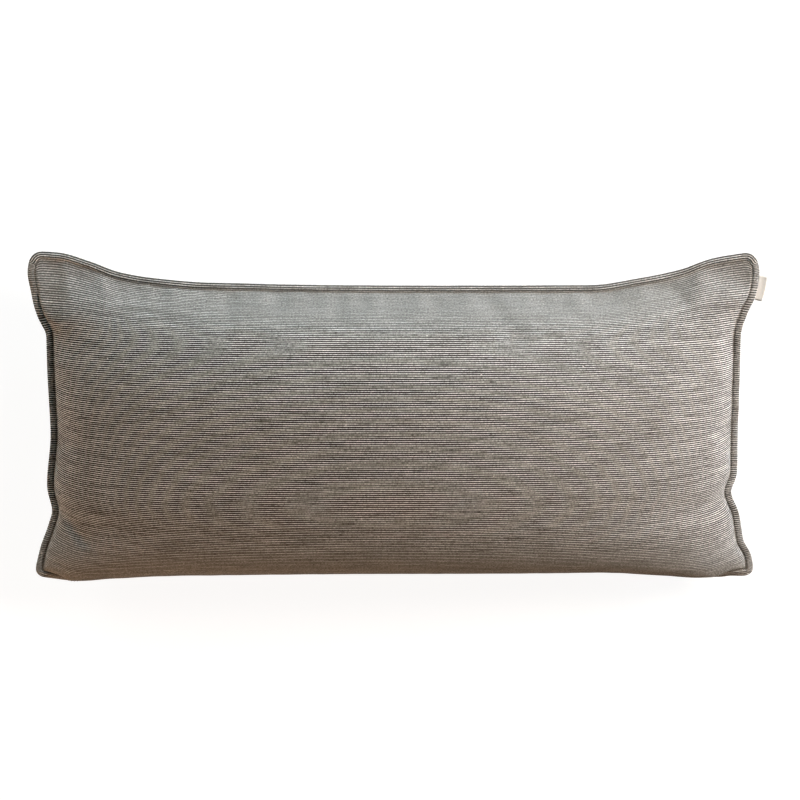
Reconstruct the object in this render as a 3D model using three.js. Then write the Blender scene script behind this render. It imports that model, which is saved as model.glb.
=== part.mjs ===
// A long filled lumbar cushion lying on its back, with a narrow topstitched flange and a blank side label.
// Millimetres, +Z up out of the face, +X along the length, +Y towards the drawn-in long edge.
// The origin is the middle of the cushion's footprint, on the surface that it lies on.
import * as THREE from "three";

// The stitched seam: half of its length and width, measured from corner to corner, and its height
const HALF_LENGTH = 429;
const HALF_WIDTH = 190;
const SEAM_HEIGHT = 38;
// Radius of the seam in plan at the two corners of the top edge and of the bottom edge
const TOP_CORNER_RADIUS = 13;
const BOTTOM_CORNER_RADIUS = 2;
const FOLLOWING = 6; // how closely the bend of a long edge stays to that edge

// The flange: two layers of cloth outside the topstitching
const FLANGE_WIDTH = 8.5;
const FLANGE_THICKNESS = 3;
const FLANGE_FOLD_ROUNDING = 1;
const MITRE_LIMIT = 1 / 0.72;

// The filling: how far the face stands above the seam, and how it falls off towards the edges
const CROWN_HEIGHT = 88;
const CROWN_SKEW = -0.05;
const TOP_SECTION = { cut: 0.75, power: 2.35 }; // meets the top seam at a slope
const BOTTOM_SECTION = { cut: 1, power: 2.4 }; // full, and upright at the bottom seam
const BELLY = 38; // the face bulges out over the bottom seam
const EAR_SLACK = 0.3; // share of the crown that the two upper corners lack
const RESTING_SHARE = 0.65; // the back is flat where the crown is above this share
const BACK_RISE = 1.25; // how steeply the back leaves the flat, as a power of the distance

// The label: a folded tape sewn in along the right flange
const LABEL_LOW = 138;
const LABEL_HIGH = 168.5;
const LABEL_REACH = 9;
const LABEL_THICKNESS = 1.2;
const SEWN_GAP = 0.3; // meshes that touch keep this gap

// Grid lines over the face, along the length and across it, closer together near the edges
const LINES_LONG = 61;
const LINES_ACROSS = 33;
const CROWDING_LONG = 0.7;
const CROWDING_ACROSS = 0.5;

// Each edge of the seam. `at` runs along the edge from its left or lower end, `drawnIn` is how far
// the filling pulls the seam in from the straight line between the corners, and `tilt` is the
// flange's angle above level in degrees.
const TOP_EDGE = [
  { at: -429, drawnIn: 1.5, tilt: -8 },
  { at: -397, drawnIn: 3.5, tilt: -8 },
  { at: -364, drawnIn: 13, tilt: -8 },
  { at: -328, drawnIn: 26.5, tilt: -8 },
  { at: -290, drawnIn: 33.5, tilt: -8 },
  { at: -218, drawnIn: 39.5, tilt: -8 },
  { at: 8, drawnIn: 43, tilt: -8 },
  { at: 234, drawnIn: 42.5, tilt: -8 },
  { at: 293, drawnIn: 34, tilt: -8 },
  { at: 341, drawnIn: 24, tilt: -8 },
  { at: 379, drawnIn: 10.5, tilt: -8 },
  { at: 429, drawnIn: 2, tilt: -8 },
];
const BOTTOM_EDGE = [
  { at: -429, drawnIn: -3.5, tilt: 0 },
  { at: -412, drawnIn: -8.5, tilt: -25 },
  { at: -392, drawnIn: -16, tilt: -80 },
  { at: -337, drawnIn: -9.5, tilt: -88 },
  { at: -254, drawnIn: -3, tilt: -88 },
  { at: 8, drawnIn: 2, tilt: -88 },
  { at: 246, drawnIn: 2, tilt: -88 },
  { at: 317, drawnIn: -4, tilt: -88 },
  { at: 385, drawnIn: -11, tilt: -80 },
  { at: 411, drawnIn: -4, tilt: -25 },
  { at: 429, drawnIn: -2, tilt: 0 },
];
const LEFT_EDGE = [
  { at: -192.5, drawnIn: 2.5, tilt: 0 },
  { at: -166, drawnIn: 9.5, tilt: 0 },
  { at: -140, drawnIn: 19, tilt: -4 },
  { at: -119, drawnIn: 25, tilt: -8 },
  { at: -89, drawnIn: 19.5, tilt: -8 },
  { at: -23, drawnIn: 25.5, tilt: -8 },
  { at: 61, drawnIn: 23.5, tilt: -8 },
  { at: 95, drawnIn: 23.5, tilt: -8 },
  { at: 122, drawnIn: 12.5, tilt: -8 },
  { at: 149, drawnIn: 6, tilt: -8 },
  { at: 187.5, drawnIn: -0.5, tilt: -8 },
];
const RIGHT_EDGE = [
  { at: -192, drawnIn: 0.5, tilt: 0 },
  { at: -176, drawnIn: 4, tilt: 0 },
  { at: -160, drawnIn: 13, tilt: -4 },
  { at: -126, drawnIn: 19.5, tilt: -8 },
  { at: -95, drawnIn: 30.5, tilt: -8 },
  { at: -72, drawnIn: 23.5, tilt: -8 },
  { at: -23, drawnIn: 24, tilt: -8 },
  { at: 49, drawnIn: 23.5, tilt: -8 },
  { at: 95, drawnIn: 23.5, tilt: -8 },
  { at: 124, drawnIn: 16, tilt: -8 },
  { at: 146, drawnIn: 6.5, tilt: -8 },
  { at: 188, drawnIn: -0.5, tilt: -8 },
];

// Soft creases in the face, each a trough from one point in plan to another
const CREASES = [
  { fromX: 406, fromY: 170, toX: 362, toY: 112, depth: 5, halfWidth: 8 }, // upper right corner
  { fromX: 342, fromY: 168, toX: 348, toY: 146, depth: 4, halfWidth: 7 }, // under the top edge
  { fromX: -420, fromY: 174, toX: -392, toY: 168, depth: 4, halfWidth: 7 }, // upper left corner
  { fromX: -352, fromY: 164, toX: -340, toY: 126, depth: 3, halfWidth: 8 }, // under the top edge
  { fromX: -400, fromY: -112, toX: -372, toY: -136, depth: 5, halfWidth: 8 }, // left pinch
  { fromX: 414, fromY: -158, toX: 386, toY: -182, depth: 5, halfWidth: 8 }, // lower right corner
];

// Slope at each row of a column: the harmonic mean of its two neighbours' slopes, or level at a turn.
function slopes(rows, column) {
  const rises = rows.slice(1).map((row, k) => (row[column] - rows[k][column]) / (row.at - rows[k].at));
  return rows.map((row, k) => {
    const before = rises[Math.max(k - 1, 0)];
    const after = rises[Math.min(k, rises.length - 1)];
    return before * after > 0 ? (2 * before * after) / (before + after) : 0;
  });
}

// A table's column as a smooth function of `at`, by cubic pieces that never overshoot its rows.
function smoothColumn(rows, column) {
  const slope = slopes(rows, column);
  return (at) => {
    let k = 0;
    while (k < rows.length - 2 && at > rows[k + 1].at) k += 1;
    const span = rows[k + 1].at - rows[k].at;
    const u = THREE.MathUtils.clamp((at - rows[k].at) / span, 0, 1);
    const weight = 3 * u ** 2 - 2 * u ** 3;
    const values = (1 - weight) * rows[k][column] + weight * rows[k + 1][column];
    return values + span * (slope[k] * u * (1 - u) ** 2 - slope[k + 1] * u ** 2 * (1 - u));
  };
}

function edgeColumns(rows) {
  return { drawnIn: smoothColumn(rows, "drawnIn"), tilt: smoothColumn(rows, "tilt") };
}

const edges = {
  top: edgeColumns(TOP_EDGE),
  bottom: edgeColumns(BOTTOM_EDGE),
  left: edgeColumns(LEFT_EDGE),
  right: edgeColumns(RIGHT_EDGE),
};

// The y of the long seams at `at`, which runs along the cushion.
const topSeam = (at) => HALF_WIDTH - edges.top.drawnIn(at);
const bottomSeam = (at) => edges.bottom.drawnIn(at) - HALF_WIDTH;

// A thread of the cloth runs level at share `t` of the width, and takes up the bend of a long seam
// only close to it: the bend fades with the sixth power of the distance from the middle.
function threadY(at, t) {
  const across = 2 * t - 1;
  const level = THREE.MathUtils.lerp(bottomSeam(0), topSeam(0), t);
  const nearTop = Math.max(across, 0) ** FOLLOWING;
  const nearBottom = Math.max(-across, 0) ** FOLLOWING;
  return level + (topSeam(at) - topSeam(0)) * nearTop + (bottomSeam(at) - bottomSeam(0)) * nearBottom;
}

// The sheet inside the seam in plan: threads along `s`, stretched between the two short seams.
function plan(s, t) {
  const leftX = edges.left.drawnIn(threadY(-HALF_LENGTH, t)) - HALF_LENGTH;
  const rightX = HALF_LENGTH - edges.right.drawnIn(threadY(HALF_LENGTH, t));
  return [THREE.MathUtils.lerp(leftX, rightX, s), threadY(HALF_LENGTH * (2 * s - 1), t)];
}

// Shares (s, t) with the square corners turned into quarter circles.
function roundedShares(s, t) {
  const x = (2 * s - 1) * HALF_LENGTH;
  const y = (2 * t - 1) * HALF_WIDTH;
  const radius = t > 0.5 ? TOP_CORNER_RADIUS : BOTTOM_CORNER_RADIUS;
  const p = (Math.abs(x) - HALF_LENGTH + radius) / radius;
  const q = (Math.abs(y) - HALF_WIDTH + radius) / radius;
  if (p <= 0 || q <= 0) return [s, t];
  const roundX = Math.sign(x) * (HALF_LENGTH - radius + radius * p * Math.sqrt(1 - q ** 2 / 2));
  const roundY = Math.sign(y) * (HALF_WIDTH - radius + radius * q * Math.sqrt(1 - p ** 2 / 2));
  return [(roundX / HALF_LENGTH + 1) / 2, (roundY / HALF_WIDTH + 1) / 2];
}

// One side of the cross-section, from 1 at its middle to 0 at the seam: the top of an oval, cut off
// by the seam at the given share.
function sectionShare(distance, { cut, power }) {
  const low = Math.sqrt(1 - cut);
  return (Math.sqrt(Math.max(1 - cut * distance ** power, 0)) - low) / (1 - low);
}

// Share of the crown's full height: oval along the length, with a full lower and a sloping upper side.
function crownShare(s, t, skew) {
  const along = 2 * s - 1;
  const across = 2 * t - 1;
  const settled = across + skew * (1 - across * across);
  const ends = Math.sqrt(Math.max(1 - along ** 2, 0));
  const section = sectionShare(Math.abs(settled), settled > 0 ? TOP_SECTION : BOTTOM_SECTION);
  const ear = EAR_SLACK * Math.abs(along) ** 5 * Math.max(across, 0) ** 3;
  return ends * section * (1 - ear);
}

// Depth of all creases at a point in plan: a bell across each one that fades out at its ends.
function creaseDepth(x, y) {
  return CREASES.reduce((sum, crease) => {
    const runX = crease.toX - crease.fromX;
    const runY = crease.toY - crease.fromY;
    const length = Math.hypot(runX, runY);
    const along = ((x - crease.fromX) * runX + (y - crease.fromY) * runY) / length;
    const across = ((x - crease.fromX) * runY - (y - crease.fromY) * runX) / length;
    const beyond = Math.max(-along, along - length, 0);
    return sum + crease.depth * Math.exp(-(across ** 2 + beyond ** 2) / crease.halfWidth ** 2);
  }, 0);
}

function facePoint(s, t) {
  const [x, y] = plan(...roundedShares(s, t));
  const share = crownShare(s, t, CROWN_SKEW);
  const towardsBottom = 1 - 2 * t;
  const nearBottom = Math.sqrt(Math.max(1 - towardsBottom ** 2, 0)) * ((1 + towardsBottom) / 2) ** 2;
  const bulge = BELLY * nearBottom * Math.sqrt(Math.max(1 - (2 * s - 1) ** 6, 0));
  const height = SEAM_HEIGHT + CROWN_HEIGHT * share - creaseDepth(x, y) * Math.min(3 * share, 1);
  return new THREE.Vector3(x, y - bulge, height);
}

function backPoint(s, t) {
  const [x, y] = plan(...roundedShares(s, t));
  const share = Math.min(crownShare(s, t, 0) / RESTING_SHARE, 1);
  return new THREE.Vector3(x, y, (SEAM_HEIGHT - FLANGE_THICKNESS / 2) * (1 - share) ** BACK_RISE);
}

// Shares from 0 to 1, closer together near both ends by the given crowding.
function gridShares(count, crowding) {
  return Array.from({ length: count }, (_, k) => {
    const even = (2 * k) / (count - 1) - 1;
    return ((1 - crowding) * even + crowding * Math.sin((Math.PI * even) / 2) + 1) / 2;
  });
}

// Grid indices of the border, anticlockwise from the lower left corner.
function borderIndices() {
  const last = LINES_LONG - 1;
  const high = LINES_ACROSS - 1;
  const border = [];
  for (let i = 0; i < last; i += 1) border.push([i, 0]);
  for (let j = 0; j < high; j += 1) border.push([last, j]);
  for (let i = last; i > 0; i -= 1) border.push([i, high]);
  for (let j = high; j > 0; j -= 1) border.push([0, j]);
  return border;
}

// The flange's tilt at a point of the border, by the edge that the point is on.
function flangeTilt([i, j], [x, y]) {
  if (j === LINES_ACROSS - 1) return edges.top.tilt(x);
  if (j === 0) return edges.bottom.tilt(x);
  return i === 0 ? edges.left.tilt(y) : edges.right.tilt(y);
}

// The flange's directions at each point of the seam: `out` away from the filling, lengthened at a
// corner as a mitre is, and `up` square to the flange.
function flangeFrames(seam) {
  const sideNormals = seam.map((point, k) => {
    const next = seam[(k + 1) % seam.length];
    return new THREE.Vector2(next[1] - point[1], point[0] - next[0]).normalize();
  });
  return seam.map((point, k) => {
    const before = sideNormals[(k + seam.length - 1) % seam.length];
    const mean = sideNormals[k].clone().add(before).multiplyScalar(0.5);
    const mitre = Math.min(1 / mean.length(), MITRE_LIMIT);
    mean.normalize();
    const tilt = THREE.MathUtils.degToRad(flangeTilt(border[k], point));
    const reach = mitre * Math.cos(tilt);
    return {
      at: new THREE.Vector3(point[0], point[1], SEAM_HEIGHT),
      out: new THREE.Vector3(mean.x * reach, mean.y * reach, Math.sin(tilt)),
      up: new THREE.Vector3(-mean.x * Math.sin(tilt), -mean.y * Math.sin(tilt), Math.cos(tilt)),
    };
  });
}

// One line of points round the flange, at a distance out from the seam and up from its middle.
function flangeLine(frames, outward, upward) {
  return frames.map(({ at, out, up }) => {
    return at.clone().addScaledVector(out, outward).addScaledVector(up, upward);
  });
}

const border = borderIndices();
const sharesLong = gridShares(LINES_LONG, CROWDING_LONG);
const sharesAcross = gridShares(LINES_ACROSS, CROWDING_ACROSS);
const seam = border.map(([i, j]) => plan(...roundedShares(sharesLong[i], sharesAcross[j])));
const frames = flangeFrames(seam);

// The cushion: face, flange and back as one closed skin.
function cushionGeometry() {
  const positions = [];
  const faces = [];
  const addPoint = (point) => {
    positions.push(point.x, point.y, point.z);
    return positions.length / 3 - 1;
  };
  const addQuad = (a, b, c, d) => faces.push(a, b, c, a, c, d);
  const addPanel = (surface, rim, facesUp) => {
    const points = sharesLong.map((s) => sharesAcross.map((t) => surface(s, t)));
    border.forEach(([i, j], k) => {
      points[i][j] = rim[k];
    });
    const ids = points.map((row) => row.map(addPoint));
    for (let i = 0; i < LINES_LONG - 1; i += 1) {
      for (let j = 0; j < LINES_ACROSS - 1; j += 1) {
        const quad = [ids[i][j], ids[i + 1][j], ids[i + 1][j + 1], ids[i][j + 1]];
        addQuad(...(facesUp ? quad : quad.reverse()));
      }
    }
    return border.map(([i, j]) => ids[i][j]);
  };
  const half = FLANGE_THICKNESS / 2;
  const fold = FLANGE_WIDTH - FLANGE_FOLD_ROUNDING;
  const loops = [
    addPanel(facePoint, flangeLine(frames, 0, half), true),
    flangeLine(frames, fold, half).map(addPoint),
    flangeLine(frames, FLANGE_WIDTH, 0).map(addPoint),
    flangeLine(frames, fold, -half).map(addPoint),
    addPanel(backPoint, flangeLine(frames, 0, -half), false),
  ];
  for (let k = 0; k < loops.length - 1; k += 1) {
    loops[k].forEach((id, n) => {
      const next = (n + 1) % border.length;
      addQuad(id, loops[k + 1][n], loops[k + 1][next], loops[k][next]);
    });
  }
  return closedGeometry(positions, faces);
}

function closedGeometry(positions, faces) {
  const geometry = new THREE.BufferGeometry();
  geometry.setAttribute("position", new THREE.Float32BufferAttribute(positions, 3));
  geometry.setIndex(faces);
  geometry.computeVertexNormals();
  return geometry;
}

// The label's stations: points of the right flange's outer edge from its lower to its upper end.
function labelStations() {
  const right = frames.filter((_, k) => border[k][0] === LINES_LONG - 1);
  const tips = right.map(({ at, out, up }) => {
    return { tip: at.clone().addScaledVector(out, FLANGE_WIDTH), out, up };
  });
  const between = (y) => {
    const k = tips.findIndex((station, n) => n > 0 && station.tip.y >= y);
    const u = (y - tips[k - 1].tip.y) / (tips[k].tip.y - tips[k - 1].tip.y);
    return {
      tip: tips[k - 1].tip.clone().lerp(tips[k].tip, u),
      out: tips[k - 1].out.clone().lerp(tips[k].out, u),
      up: tips[k - 1].up.clone().lerp(tips[k].up, u),
    };
  };
  const inner = tips.filter(({ tip }) => tip.y > LABEL_LOW && tip.y < LABEL_HIGH);
  return [between(LABEL_LOW), ...inner, between(LABEL_HIGH)];
}

// The label: a flat folded tape whose section is carried along the stations, with flat ends.
function labelGeometry() {
  const half = LABEL_THICKNESS / 2;
  const section = [
    { outward: SEWN_GAP, upward: -half },
    { outward: LABEL_REACH - half, upward: -half },
    { outward: LABEL_REACH, upward: 0 },
    { outward: LABEL_REACH - half, upward: half },
    { outward: SEWN_GAP, upward: half },
  ];
  const stations = labelStations();
  const middle = stations[Math.floor(stations.length / 2)];
  const positions = [];
  const faces = [];
  stations.forEach(({ tip }) => {
    section.forEach(({ outward, upward }) => {
      const point = tip.clone().addScaledVector(middle.out, outward).addScaledVector(middle.up, upward);
      positions.push(point.x, point.y, point.z);
    });
  });
  const count = section.length;
  for (let k = 0; k < stations.length - 1; k += 1) {
    for (let n = 0; n < count; n += 1) {
      const a = k * count + n;
      const b = k * count + ((n + 1) % count);
      faces.push(a, b + count, b, a, a + count, b + count);
    }
  }
  const end = (stations.length - 1) * count;
  for (let n = 1; n < count - 1; n += 1) {
    faces.push(0, n, n + 1, end, end + n + 1, end + n);
  }
  return closedGeometry(positions, faces);
}

const stripedCloth = new THREE.MeshStandardMaterial({ color: 0x8b867e, roughness: 0.95, metalness: 0 });
const labelTape = new THREE.MeshStandardMaterial({ color: 0xd9d7d2, roughness: 0.8, metalness: 0 });

function namedMesh(name, geometry, material) {
  const mesh = new THREE.Mesh(geometry, material);
  mesh.name = name;
  return mesh;
}

const pieces = new THREE.Group();
pieces.add(namedMesh("cushion", cushionGeometry(), stripedCloth));
pieces.add(namedMesh("label", labelGeometry(), labelTape));

// The footprint's middle becomes the origin.
const footprint = new THREE.Box3().setFromObject(pieces).getCenter(new THREE.Vector3());
pieces.position.set(-footprint.x, -footprint.y, 0);

const lumbarCushion = new THREE.Group();
lumbarCushion.add(pieces);
export default lumbarCushion;
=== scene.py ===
"""A filled lumbar cushion in finely striped cloth, on a pale floor under soft studio light."""
import math

import bpy
import numpy as np
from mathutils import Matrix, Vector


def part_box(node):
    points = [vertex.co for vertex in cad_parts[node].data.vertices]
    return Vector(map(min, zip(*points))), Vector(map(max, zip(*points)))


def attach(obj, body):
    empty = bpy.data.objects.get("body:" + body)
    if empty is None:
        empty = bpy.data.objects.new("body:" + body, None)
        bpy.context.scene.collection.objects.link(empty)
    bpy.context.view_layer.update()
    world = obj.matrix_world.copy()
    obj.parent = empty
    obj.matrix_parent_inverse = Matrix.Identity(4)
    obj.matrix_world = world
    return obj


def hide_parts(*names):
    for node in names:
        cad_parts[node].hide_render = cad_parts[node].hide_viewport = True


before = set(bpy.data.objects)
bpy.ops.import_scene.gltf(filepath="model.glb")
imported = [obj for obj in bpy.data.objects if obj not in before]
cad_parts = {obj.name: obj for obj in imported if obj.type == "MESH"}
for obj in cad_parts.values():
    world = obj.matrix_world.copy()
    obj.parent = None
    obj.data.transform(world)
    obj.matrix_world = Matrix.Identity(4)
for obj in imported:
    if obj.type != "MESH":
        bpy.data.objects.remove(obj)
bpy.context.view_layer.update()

bl_info = {
    "name": "Striped Lumbar Cushion",
    "version": (1, 0, 0),
    "blender": (4, 5, 0),
    "location": "View3D > Sidebar > Cushion",
    "description": "Builds a filled cushion with its topstitched flange, threads and label",
    "category": "Add Mesh",
}

MM = 0.001


def linear(hex_colour):
    """An sRGB hex value as linear red, green, blue and a full alpha."""
    shares = np.array([int(hex_colour[k:k + 2], 16) for k in (1, 3, 5)]) / 255
    curved = ((shares + 0.055) / 1.055) ** 2.4
    return (*np.where(shares <= 0.04045, shares / 12.92, curved).tolist(), 1.0)


def millimetres(*rows):
    """A table whose rows are in millimetres, as an array in metres."""
    return np.array(rows, dtype=float) * MM


def edge_table(*rows):
    """Rows of place along an edge, distance drawn in, and tilt, as metres, metres and radians."""
    table = np.array(rows, dtype=float)
    return table * [MM, MM, math.pi / 180]


# Each edge of the seam: the place along it, how far the filling draws the seam in there from the
# straight line between the corners, and the flange's tilt above level in degrees
TOP_EDGE = edge_table(
    (-429, 1.5, -8), (-397, 3.5, -8), (-364, 13, -8), (-328, 26.5, -8), (-290, 33.5, -8),
    (-218, 39.5, -8), (8, 43, -8), (234, 42.5, -8), (293, 34, -8), (341, 24, -8), (379, 10.5, -8),
    (429, 2, -8),
)
BOTTOM_EDGE = edge_table(
    (-429, -3.5, 0), (-412, -8.5, -25), (-392, -16, -80), (-337, -9.5, -88), (-254, -3, -88),
    (8, 2, -88), (246, 2, -88), (317, -4, -88), (385, -11, -80), (411, -4, -25), (429, -2, 0),
)
LEFT_EDGE = edge_table(
    (-192.5, 2.5, 0), (-166, 9.5, -8), (-140, 19, -8), (-119, 25, -2), (-89, 19.5, 4),
    (-23, 25.5, 4), (61, 23.5, 4), (95, 23.5, 2), (122, 12.5, -6), (149, 6, -12), (187.5, -0.5, -6),
)
RIGHT_EDGE = edge_table(
    (-192, 0.5, 0), (-176, 4, 0), (-160, 13, 0), (-126, 19.5, 0), (-95, 30.5, 0),
    (-72, 23.5, -2), (-23, 24, -2), (49, 23.5, 2), (95, 23.5, 8), (124, 16, 2), (146, 6.5, -4),
    (188, -0.5, -4),
)

# Troughs in the face: from x, from y, to x, to y, depth and half width. A ridge has a depth below 0.
CREASES = millimetres(
    (406, 170, 362, 112, 3.5, 8),  # upper right corner
    (404, 176, 384, 146, 3.5, 5),
    (330, 155, 346, 136, 5, 5),
    (-420, 174, -392, 168, 4, 7),  # upper left corner
    (-393, 178, -388, 156, -3.5, 6),
    (-346, 162, -339, 134, -3.2, 5),
    (-332, 160, -325, 132, -3.0, 5),
    (-317, 157, -311, 134, -2.6, 5),
    (-400, -112, -372, -136, 5, 8),  # left pinch
    (-409, -126, -398, -144, 2.5, 5),
    (-418, -168, -405, -174, 2.0, 5),  # lower left corner
    (419, -166, 388, -188, 5, 7),  # lower right corner
    (-196, 146, -196, 126, 2.2, 7),  # under the top edge, from left to right
    (-68, 142, -66, 122, 2.2, 7),
    (50, 142, 54, 124, 2.0, 6),
    (112, 140, 148, 100, 2.6, 8),
    (205, 144, 226, 134, -2.4, 6),
    (262, 152, 285, 146, -2.2, 6),
    (9, -94, 7, -132, 0.8, 8),  # lower face
    (163, -126, 179, -148, 0.8, 7),
)

# The flange's section from the topstitching round the sewn edge: distance out, and up from its middle
FLANGE_FACE = millimetres(
    (0, -0.7), (0.5, 0.7), (1.6, 1.35), (4.2, 1.5), (7.0, 1.4), (8.2, 0.95), (8.5, 0.4))
FLANGE_BACK = millimetres((0, -0.9), (1.2, -1.3), (4.0, -1.5), (7.6, -1.3), (8.5, -0.4))
FLANGE_WIDTH = FLANGE_FACE[-1, 0]
HALF_FLANGE = 1.5 * MM
GROOVE = 8.1 * MM  # how far out the dip between the flange's two layers lies
MITRE_LIMIT = 1 / 0.72  # how much further out than its sides a corner may stand
STITCH_LIFT = 1.0 * MM  # how far above and below the seam's level the two rows of stitches lie

# The filled cross-section: how much of an oval each side is, and the power of its roundness
TOP_SECTION = (0.75, 2.35)  # meets the top seam at a slope
BOTTOM_SECTION = (1, 2.4)  # full, and upright at the bottom seam
CROWN_SKEW = -0.05
EAR_SLACK = 0.3  # share of the crown that the two upper corners lack
RESTING_SHARE = 0.65  # the back is flat where the crown is above this share
BACK_RISE = 1.25  # the power with which the back leaves the flat

# How far from the seam the swelling, the gathers and the filling's folds reach, along the cloth
SWELL_REACH = 12 * MM
GATHERS_BEGIN, GATHERS_END = 3 * MM, 16 * MM
FOLDS_REACH = 45 * MM

# The label: its ends along the right edge, its reach past the flange, what is sewn in, and half the
# thickness of the folded tape outside and inside
LABEL_LOW, LABEL_HIGH = 138 * MM, 168.5 * MM
LABEL_RUN, LABEL_SEWN_IN = 8.4 * MM, 1.2 * MM
LABEL_OUTSIDE, LABEL_INSIDE = 0.6 * MM, 0.2 * MM


def length_property(name, description, metres):
    """A length that the panel shows."""
    return bpy.props.FloatProperty(
        name=name, description=description, default=metres, unit="LENGTH")


def colour_property(name, description, hex_colour):
    """A colour that the panel shows."""
    return bpy.props.FloatVectorProperty(
        name=name, description=description, default=linear(hex_colour), subtype="COLOR", size=4,
        min=0, max=1)


class CushionSizes(bpy.types.PropertyGroup):
    """The cushion's driving sizes, in metres"""
    half_length: length_property(
        "Half length", "From the middle to a corner of the seam, along the cushion", 0.429)
    half_width: length_property(
        "Half width", "From the middle to a corner of the seam, across the cushion", 0.19)
    seam_height: length_property("Seam height", "Height of the seam above the floor", 0.038)
    crown: length_property("Crown", "How far the face stands above the seam", 0.088)
    belly: length_property("Belly", "How far the face bulges over the lower seam", 0.038)
    top_corner: length_property(
        "Top corner radius", "Radius of the seam at the two corners of the top edge", 0.013)
    bottom_corner: length_property(
        "Bottom corner radius", "Radius of the seam at the two lower corners", 0.002)
    ripple: length_property("Ripple", "Height of the ripples in the flange's edge", 0.0007)
    swell: length_property("Swell", "How far the filling pushes the loose face out", 0.0026)
    gather: length_property("Gathers", "Depth of the small gathers beside the seam", 0.0007)
    stitch: length_property("Stitch", "Length of one topstitch", 0.003)
    thread: length_property("Thread", "Thickness of the topstitching thread", 0.0005)
    stripe: length_property("Stripe", "Distance from one light line of the cloth to the next", 0.00256)


class CushionColours(bpy.types.PropertyGroup):
    """The colours of the yarns, the thread, the label and the floor"""
    dark_yarn: colour_property("Dark yarn", "Colour of the cloth's dark ground", "#2C2A26")
    light_yarn: colour_property("Light yarn", "Colour of the cloth's light lines", "#E8E6E1")
    thread: colour_property("Thread", "Colour of the topstitching thread", "#8C857B")
    label: colour_property("Label", "Colour of the side label's tape", "#D9D7D2")
    floor: colour_property("Floor", "Colour of the floor", "#8C8C8A")


# Grid lines over a panel, along the length and across it, closer together near the edges
LINES_LONG, LINES_ACROSS = 145, 65
CROWDING_LONG, CROWDING_ACROSS = 0.7, 0.5


def smooth_column(table, column):
    """A table's column as a function of its first column: cubic pieces through the rows, whose
    slope at a row is the harmonic mean of the slopes beside it, or level at a turn."""
    places, values = table[:, 0], table[:, column]
    rise = np.diff(values) / np.diff(places)
    before, after = np.append(rise[:1], rise), np.append(rise, rise[-1:])
    same_way = before * after > 0
    slope = np.where(same_way, 2 * before * after / np.where(same_way, before + after, 1), 0)

    def column_at(at):
        k = np.clip(np.searchsorted(places, at) - 1, 0, len(places) - 2)
        span = places[k + 1] - places[k]
        u = np.clip((at - places[k]) / span, 0, 1)
        weight = 3 * u ** 2 - 2 * u ** 3
        bend = slope[k] * u * (1 - u) ** 2 - slope[k + 1] * u ** 2 * (1 - u)
        return (1 - weight) * values[k] + weight * values[k + 1] + span * bend

    return column_at


EDGES = {"top": TOP_EDGE, "bottom": BOTTOM_EDGE, "left": LEFT_EDGE, "right": RIGHT_EDGE}
DRAWN_IN = {name: smooth_column(table, 1) for name, table in EDGES.items()}
TILT = {name: smooth_column(table, 2) for name, table in EDGES.items()}


def crowded(count, crowding):
    """Shares from 0 to 1: evenly spaced ones mixed with a quarter wave of a sine at each end."""
    even = np.linspace(-1, 1, count)
    return ((1 - crowding) * even + crowding * np.sin(math.pi * even / 2) + 1) / 2


def thread_y(sizes, at, t):
    """The y of the thread of cloth at share t of the width: level in the middle of the panel, and
    bent like the nearer long seam by the sixth power of its distance from the middle."""
    across = 2 * t - 1
    top = sizes.half_width - DRAWN_IN["top"](at)
    bottom = DRAWN_IN["bottom"](at) - sizes.half_width
    middle_top = sizes.half_width - DRAWN_IN["top"](np.zeros(1))
    middle_bottom = DRAWN_IN["bottom"](np.zeros(1)) - sizes.half_width
    level = middle_bottom + (middle_top - middle_bottom) * t
    near_top, near_bottom = np.maximum(across, 0) ** 6, np.maximum(-across, 0) ** 6
    return level + (top - middle_top) * near_top + (bottom - middle_bottom) * near_bottom


def plan(sizes, s, t):
    """The sheet inside the seam in plan: each thread stretched between the two short seams."""
    left = DRAWN_IN["left"](thread_y(sizes, np.full_like(t, -sizes.half_length), t))
    right = DRAWN_IN["right"](thread_y(sizes, np.full_like(t, sizes.half_length), t))
    left_x, right_x = left - sizes.half_length, sizes.half_length - right
    return left_x + (right_x - left_x) * s, thread_y(sizes, sizes.half_length * (2 * s - 1), t)


def rounded(sizes, s, t):
    """Shares with each square corner turned into a quarter circle: a square's point (p, q) goes to
    p times the root of 1 - q squared / 2, and q likewise."""
    half = np.array([sizes.half_length, sizes.half_width])[:, None, None]
    place = np.stack([2 * s - 1, 2 * t - 1]) * half
    radius = np.where(t > 0.5, sizes.top_corner, sizes.bottom_corner)
    beyond = (np.abs(place) - half + radius) / radius
    inside = (beyond <= 0).any(axis=0)
    circle = beyond * np.sqrt(np.maximum(1 - beyond[::-1] ** 2 / 2, 0))
    turned = np.sign(place) * (half - radius + radius * circle)
    return (np.where(inside, place, turned) / half + 1) / 2


def section_share(distance, part, power):
    """One side of the cross-section, 1 in its middle and 0 at the seam: the top part of an oval."""
    low = math.sqrt(1 - part)
    return (np.sqrt(np.maximum(1 - part * distance ** power, 0)) - low) / (1 - low)


def crown_share(s, t, skew):
    """Share of the crown's height: an oval along the length times the cross-section, less the
    slack of the two upper corners. The skew moves the highest line away from the middle."""
    along, across = 2 * s - 1, 2 * t - 1
    settled = across + skew * (1 - across ** 2)
    upper = section_share(np.abs(settled), *TOP_SECTION)
    lower = section_share(np.abs(settled), *BOTTOM_SECTION)
    ear = EAR_SLACK * np.abs(along) ** 5 * np.maximum(across, 0) ** 3
    return np.sqrt(np.maximum(1 - along ** 2, 0)) * np.where(settled > 0, upper, lower) * (1 - ear)


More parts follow.
